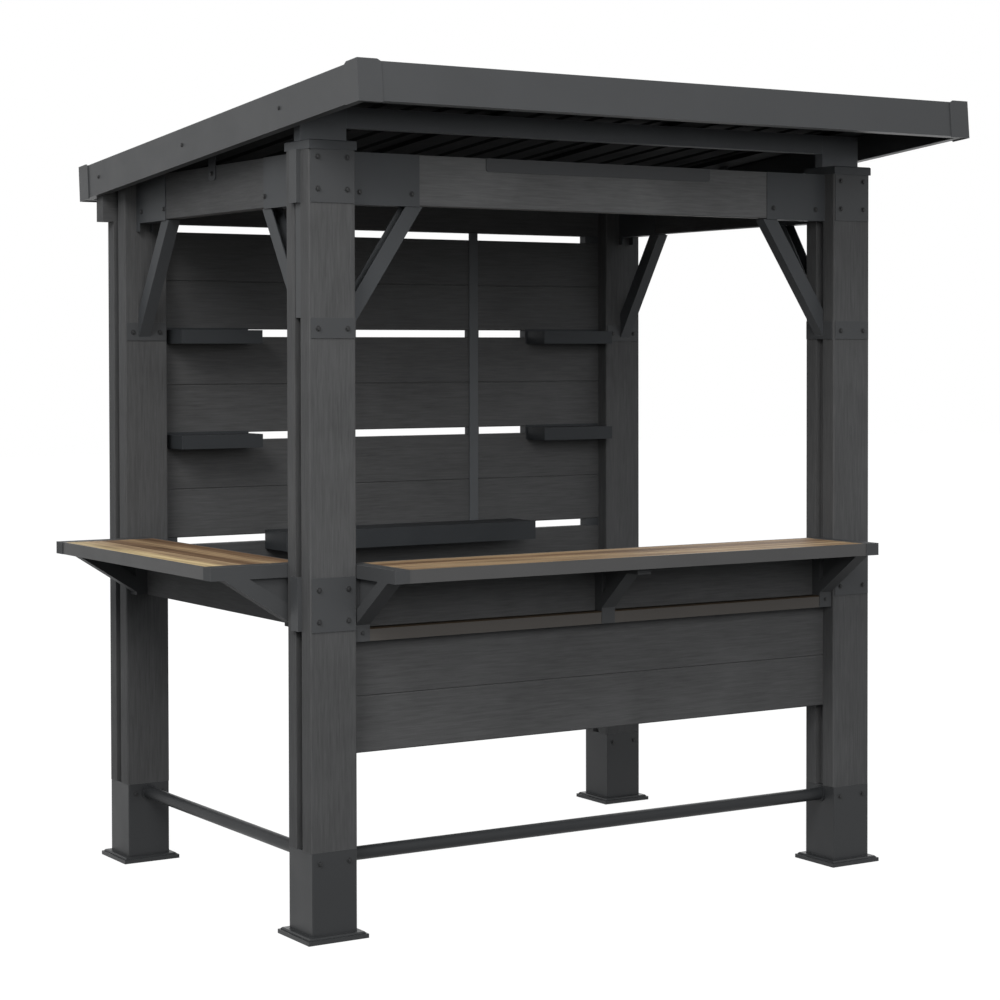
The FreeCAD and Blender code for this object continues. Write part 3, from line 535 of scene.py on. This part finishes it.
# %% Counter board finish
STRAW = (0.44, 0.33, 0.18)
TAN = (0.31, 0.215, 0.125)
OAK = (0.27, 0.18, 0.1)
BROWN = (0.15, 0.09, 0.05)
DECK_ALONG = 1.6
DECK_ACROSS = 70.0
DECK_RELIEF = 0.0006
DECK_SPECULAR = 0.12
DECK_DARK = (0.42, 0.38, 0.36, 1.0)
DECK_PALE = (1.55, 1.6, 1.6, 1.0)
DECK_STREAKS = 2.6
DECK_CLOUDS = 0.8
BOARD_SHIFT = 7.3
BOARD_SHIFT_MORE = 2.1


def board_number_shift(tree, across_share, boards):
    """A shift of the grain that is the same all over one board."""
    number = maths(tree, "FLOOR", maths(tree, "MULTIPLY", across_share, float(boards)), 0.0)
    shift = tree.nodes.new("ShaderNodeCombineXYZ")
    for axis in range(3):
        step = maths(tree, "MULTIPLY", number, BOARD_SHIFT + BOARD_SHIFT_MORE * axis)
        tree.links.new(step, shift.inputs[axis])
    return shift.outputs["Vector"]


def tone_ramp(tree, across_share, tones):
    """One flat tone for each board, changing at the joints."""
    ramp = tree.nodes.new("ShaderNodeValToRGB")
    ramp.color_ramp.interpolation = "CONSTANT"
    marks = ramp.color_ramp.elements
    while len(marks) < len(tones):
        marks.new(0.5)
    for index, tone in enumerate(tones):
        marks[index].position = index / len(tones)
        marks[index].color = (*tone, 1.0)
    tree.links.new(across_share, ramp.inputs["Fac"])
    return ramp.outputs["Color"]


def counter_finish(name, node, across, tones, stretch):
    """Wood decking: tones run from the outer edge of the counter to the inner one."""
    low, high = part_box(node)
    material, tree, shader, place, bump = start_material(name, DECK_RELIEF, DECK_SPECULAR)
    parts = tree.nodes.new("ShaderNodeSeparateXYZ")
    tree.links.new(place, parts.inputs["Vector"])
    from_edge = maths(tree, "SUBTRACT", parts.outputs[across], low[across])
    across_share = maths(tree, "DIVIDE", from_edge, high[across] - low[across])
    moved = tree.nodes.new("ShaderNodeVectorMath")
    tree.links.new(place, moved.inputs[0])
    tree.links.new(board_number_shift(tree, across_share, len(tones)), moved.inputs[1])
    grain = add_group(
        tree, grain_group,
        {"Stretch": stretch, "Dark": DECK_DARK, "Pale": DECK_PALE,
         "Streaks": DECK_STREAKS, "Clouds": DECK_CLOUDS},
        {"Position": moved.outputs["Vector"]},
    )
    stained = tree.nodes.new("ShaderNodeMix")
    stained.data_type = "RGBA"
    stained.blend_type = "MULTIPLY"
    stained.inputs[0].default_value = 1.0
    tree.links.new(tone_ramp(tree, across_share, tones), stained.inputs[6])
    tree.links.new(grain.outputs["Color"], stained.inputs[7])
    tree.links.new(stained.outputs[2], shader.inputs["Base Color"])
    tree.links.new(grain.outputs["Roughness"], shader.inputs["Roughness"])
    tree.links.new(grain.outputs["Height"], bump.inputs["Height"])
    return material


left_decking = counter_finish(
    "left_decking", "left_counter_top", 0, [STRAW, TAN, BROWN, OAK, BROWN],
    (DECK_ACROSS, DECK_ALONG, DECK_ACROSS))
front_decking = counter_finish(
    "front_decking", "front_counter_top", 1, [OAK, TAN, OAK, BROWN, OAK],
    (DECK_ALONG, DECK_ACROSS, DECK_ACROSS))
print("decking", left_decking.name, front_decking.name)

# %% [markdown]
# Now each CAD node gets its finish. The table says it by the node's name; the nodes keep
# their mesh and place, only the material changes. A node that the table doesn't name would
# stop the script, so that nothing stays grey by oversight.

# %% Give every node its finish
SIDES = ("front_left", "front_right", "back_left", "back_right")
finish_of = {
    boards_upright: ["post_" + side for side in SIDES],
    boards_beam_painted_light: ["beam_front"],
    boards_level: ["beam_back", "back_wall_boards", "front_wall_boards", "front_apron",
                   "roof_ledger"],
    boards_deep: ["beam_left", "beam_right", "left_apron"],
    frame_coat: ["post_caps", "beam_brackets", "knee_braces_front", "knee_braces_left",
                 "knee_braces_right", "roof_ties", "back_wall_spacers"],
    batten_painted_light_coat: ["back_wall_battens"],
    shelf_painted_shade_coat: ["corner_shelves", "long_shelf"],
    bracket_coat: ["front_counter_brackets", "left_counter_brackets"],
    rail_painted_shade_coat: ["foot_rails"],
    foot_painted_shade_coat: ["foot_" + side for side in SIDES],
    plate_coat: ["post_plates", "power_strip_cover"],
    fascia_coat: ["fascia_front", "fascia_back", "fascia_left", "fascia_right", "roof_corners"],
    roof_coat: ["roof_sheet", "roof_rafters"],
    risers_painted_light_coat: ["roof_risers", "roof_header"],
    counter_coat: ["front_counter_frame", "left_counter_frame"],
    left_decking: ["left_counter_top"],
    front_decking: ["front_counter_top"],
    ledge_coat: ["front_ledge"],
    ledge_wood_painted_shade: ["front_ledge_boards"],
}
for finish, names in finish_of.items():
    for name in names:
        nodes[name].data.materials.clear()
        nodes[name].data.materials.append(finish)
named = sorted(name for names in finish_of.values() for name in names)
assert named == sorted(nodes), set(nodes) ^ set(named)
print("finished nodes", len(named))

# %% [markdown]
# The frame is bolted together. Each bolt seen from outside is a flat washer under a
# hexagon head. Both are turned forms: rings of points, one above the other, joined by
# faces and closed at both ends. A washer has a small chamfer. The head starts as a hexagon
# and ends in a circle, as its top corners are turned off on a real bolt.

# %% Turned form
RING_POINTS = 24
SIXTH = math.pi / 3


def hexagon_reach(radius, angle):
    """How far a hexagon's side is from its middle in the direction of an angle."""
    return radius * math.cos(SIXTH / 2) / math.cos((angle + SIXTH / 2) % SIXTH - SIXTH / 2)


def turned_rings(mesh, profile, spin, hexagons=()):
    """Joins rings of points (radius, height) into one closed form; some are hexagons."""
    rings = []
    for index, (radius, height) in enumerate(profile):
        ring = []
        for step in range(RING_POINTS):
            angle = 2 * math.pi * step / RING_POINTS
            reach = hexagon_reach(radius, angle) if index in hexagons else radius
            place = Vector((reach * math.cos(angle), reach * math.sin(angle), height))
            ring.append(mesh.verts.new(spin @ place))
        rings.append(ring)
    for low_ring, high_ring in zip(rings, rings[1:]):
        for step in range(RING_POINTS):
            after = (step + 1) % RING_POINTS
            mesh.faces.new((low_ring[step], low_ring[after], high_ring[after], high_ring[step]))
    mesh.faces.new(list(reversed(rings[0])))
    mesh.faces.new(rings[-1])


print("turned forms with", RING_POINTS, "points to a ring")

# %% [markdown]
# All bolts on one part are one mesh. The helper adds a bolt to a growing mesh at a point on
# the steel, facing along a direction, and the finished mesh then rides on the shelter's
# body. The sizes are those of an M6 bolt, and smaller screws use the same form scaled down.

# %% Bolt helper
WASHER_RADIUS = 0.0085
WASHER_THICK = 0.0014
WASHER_RIM = 0.6
WASHER_CHAMFER = 0.94
HEAD_RADIUS = 0.0062
HEAD_HEIGHT = 0.0042
HEAD_SEAT = 0.9
HEAD_TURNED = 0.82
HEAD_MIDDLE = 0.45
HEAD_CROWN = 0.0004
SCREW_SIZE = 0.8


def add_bolt(mesh, point, facing, size):
    """A washer and a hexagon head on a surface, looking along facing."""
    spin = Matrix.Translation(point) @ Vector(facing).to_track_quat("Z", "Y").to_matrix().to_4x4()
    washer = WASHER_RADIUS * size
    head = HEAD_RADIUS * size
    low = WASHER_THICK * size
    high = low + HEAD_HEIGHT * size
    washer_profile = [(washer, 0.0), (washer, low * WASHER_RIM), (washer * WASHER_CHAMFER, low)]
    head_profile = [
        (head, low * HEAD_SEAT),
        (head, high * HEAD_TURNED),
        (head * HEAD_TURNED, high),
        (head * HEAD_MIDDLE, high + HEAD_CROWN * size),
    ]
    turned_rings(mesh, washer_profile, spin)
    turned_rings(mesh, head_profile, spin, hexagons=(0, 1))


def bolt_piece(name, places, facing, size=1.0):
    """One object for all bolts of a part; places are points on its surface, in metres."""
    grown = bmesh.new()
    for point in places:
        add_bolt(grown, point, facing, size)
    mesh = bpy.data.meshes.new(name)
    grown.to_mesh(mesh)
    grown.free()
    piece = bpy.data.objects.new(name, mesh)
    scene.collection.objects.link(piece)
    mesh.materials.append(bolt_coat)
    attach(piece, "root")
    print(name, len(places), "bolts", len(mesh.polygons), "faces")


print("washer", 2000 * WASHER_RADIUS, "mm across, head", 2000 * HEAD_RADIUS, "mm")

# %% [markdown]
# The bolts sit where the photograph shows them: four on each top plate and counter plate,
# two on each band at the foot of a brace. Their places are measured from the middle of the
# post, and the face they lie on is the face of the post's own box moved out by the
# thickness of a plate, so a bolt always touches the steel under it. The back left post
# carries its counter plate on the rear face, which isn't seen in the photograph, so its
# bolts are there too.

# %% Bolts on the posts
BOLT_OUT = 0.047
TOP_PLATE_BOLTS = (2.128, 2.218)
BAND_BOLT = 1.735
COUNTER_PLATE_BOLTS = (0.907, 0.997)
PLATE_THICK = 0.003
FRONT = (0.0, -1.0, 0.0)
REAR = (0.0, 1.0, 0.0)
LEFT = (-1.0, 0.0, 0.0)
RIGHT = (1.0, 0.0, 0.0)

centre = {}
for side in SIDES:
    low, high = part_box("post_" + side)
    centre[side] = ((low[0] + high[0]) / 2, (low[1] + high[1]) / 2)
    columns = (centre[side][0] - BOLT_OUT, centre[side][0] + BOLT_OUT)
    front_face = low[1] - PLATE_THICK
    rear_face = high[1] + PLATE_THICK
    front_rows = [BAND_BOLT]
    rear_rows = [BAND_BOLT]
    if side.startswith("front"):
        front_rows += COUNTER_PLATE_BOLTS + TOP_PLATE_BOLTS
    if side == "back_left":
        rear_rows += COUNTER_PLATE_BOLTS
    bolt_piece("bolts_front_" + side, [(x, front_face, z) for x in columns for z in front_rows], FRONT)
    bolt_piece("bolts_rear_" + side, [(x, rear_face, z) for x in columns for z in rear_rows], REAR)
print("post centres", {side: [round(v, 3) for v in place] for side, place in centre.items()})

# %% [markdown]
# Elsewhere the surface isn't a box face: saddles are folded, the roof slopes. There the
# place is found by shooting a ray at the node's mesh and keeping the point it hits, which
# is what snapping to a face does by hand. The ray starts clear of the node.

# %% Find a point on a node
trees = {}


def surface_point(node, start, direction):
    """The first point of a node's mesh met from start along direction."""
    if node not in trees:
        mesh = nodes[node].data
        trees[node] = BVHTree.FromPolygons(
            [v.co for v in mesh.vertices], [p.vertices for p in mesh.polygons])
    hit = trees[node].ray_cast(Vector(start), Vector(direction))[0]
    assert hit is not None, (node, start)
    return hit


def bolts_on(name, node, starts, facing, size=1.0):
    """Bolts where rays from the starts, shot against facing, meet the node."""
    inward = -Vector(facing)
    bolt_piece(name, [surface_point(node, start, inward) for start in starts], facing, size)


print("ray helper ready")

# %% [markdown]
# The shoes take two bolts near their rim, in front and behind. Saddles hold the beams: two
# bolts go through each, one near the post and one near the saddle's end. Those through the
# front beam show their nuts inside.

# %% Bolts on shoes and saddles
OUTSIDE = 3.0
INSIDE_ROOM = 0.2
SHOE_BOLT = 0.223
SADDLE_BOLTS = (0.113, 0.286)
SADDLE_BOLT_HEIGHT = 2.126

for side, (x, y) in centre.items():
    foot = "foot_" + side
    columns = (x - BOLT_OUT, x + BOLT_OUT)
    bolts_on("bolts_shoe_front_" + side, foot, [(a, y - OUTSIDE, SHOE_BOLT) for a in columns], FRONT)
    bolts_on("bolts_shoe_rear_" + side, foot, [(a, y + OUTSIDE, SHOE_BOLT) for a in columns], REAR)

left_x, front_y = centre["front_left"]
right_x, back_y = centre["back_right"]
saddle_x = [left_x + step for step in SADDLE_BOLTS] + [right_x - step for step in SADDLE_BOLTS]
saddle_y = [front_y + step for step in SADDLE_BOLTS] + [back_y - step for step in SADDLE_BOLTS]
saddle_runs = (
    ("bolts_front_saddles", [(x, front_y - OUTSIDE) for x in saddle_x], FRONT),
    ("nuts_front_saddles", [(x, front_y + INSIDE_ROOM) for x in saddle_x], REAR),
    ("bolts_left_saddles", [(-OUTSIDE, y) for y in saddle_y], LEFT),
    ("bolts_right_saddles", [(OUTSIDE, y) for y in saddle_y], RIGHT),
)
for name, spots, facing in saddle_runs:
    bolts_on(name, "beam_brackets", [(x, y, SADDLE_BOLT_HEIGHT) for x, y in spots], facing)
print("saddle bolts at x", [round(x, 3) for x in saddle_x])

# %% [markdown]
# The straps that carry the roof are bolted to the side beams with one bolt each. The side
# faces of the roof edge are screwed in three places, lower and lower towards the back, as
# the roof falls.

# %% Bolts on straps and roof edge
STRAP_BOLT_HEIGHT = 2.2155
STRAP_Y = 0.1565
FASCIA_SCREWS = ((-0.4935, 2.3546), (0.1545, 2.2988), (0.8025, 2.243))

bolts_on("bolt_left_strap", "roof_ties", [(-OUTSIDE, STRAP_Y, STRAP_BOLT_HEIGHT)], LEFT)
bolts_on("bolt_right_strap", "roof_ties", [(OUTSIDE, STRAP_Y, STRAP_BOLT_HEIGHT)], RIGHT)
for name, start_x, facing in (("left", -OUTSIDE, LEFT), ("right", OUTSIDE, RIGHT)):
    bolts_on("screws_fascia_" + name, "fascia_" + name,
             [(start_x, y, z) for y, z in FASCIA_SCREWS], facing, SCREW_SIZE)

# %% [markdown]
# Under the front counter the outer brackets end in a flat foot that lies on the ledge's
# end. One screw goes through each foot into the ledge.

# %% Screws at the ends of the ledge
LEDGE_SCREW_HEIGHT = 0.8665
LEDGE_SCREW_IN = 0.024
ledge_low, ledge_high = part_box("front_ledge")
ledge_ends = (ledge_low[0] + LEDGE_SCREW_IN, ledge_high[0] - LEDGE_SCREW_IN)
bolts_on("screws_ledge", "front_counter_brackets",
         [(x, ledge_low[1] - OUTSIDE, LEDGE_SCREW_HEIGHT) for x in ledge_ends], FRONT, SCREW_SIZE)

# %% [markdown]
# The roof is a ribbed sheet laid on four rafters that run from back to front. Screws with
# broad washers go through the sheet into each rafter. They show from above only, but they
# are what makes a sheet roof look fixed rather than placed. The rafters' places are read
# from their own mesh: its points lie in four narrow groups along x.

# %% Roof screws
ROOF_SCREW_STEP = 0.29
ROOF_MARGIN = 0.12
RAFTER_GAP = 0.15
ROOF_SLOPE = math.radians(4.9)
ABOVE_ROOF = 4.0

rafter_lines = []
for x in sorted({round(v.co.x, 3) for v in nodes["roof_rafters"].data.vertices}):
    if not rafter_lines or x - rafter_lines[-1][0] > RAFTER_GAP:
        rafter_lines.append([x, x])
    rafter_lines[-1][1] = x
rafter_middles = [(a + b) / 2 for a, b in rafter_lines]

sheet_low, sheet_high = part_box("roof_sheet")
run = sheet_high[1] - sheet_low[1] - 2 * ROOF_MARGIN
count = int(run / ROOF_SCREW_STEP) + 1
rows = [sheet_low[1] + ROOF_MARGIN + step * run / (count - 1) for step in range(count)]
roof_up = Vector((0.0, math.sin(ROOF_SLOPE), math.cos(ROOF_SLOPE)))
spots = [surface_point("roof_sheet", (x, y, ABOVE_ROOF), (0.0, 0.0, -1.0))
         for x in rafter_middles for y in rows]
bolt_piece("roof_screws", spots, roof_up)
print("rafters at", [round(x, 3) for x in rafter_middles])
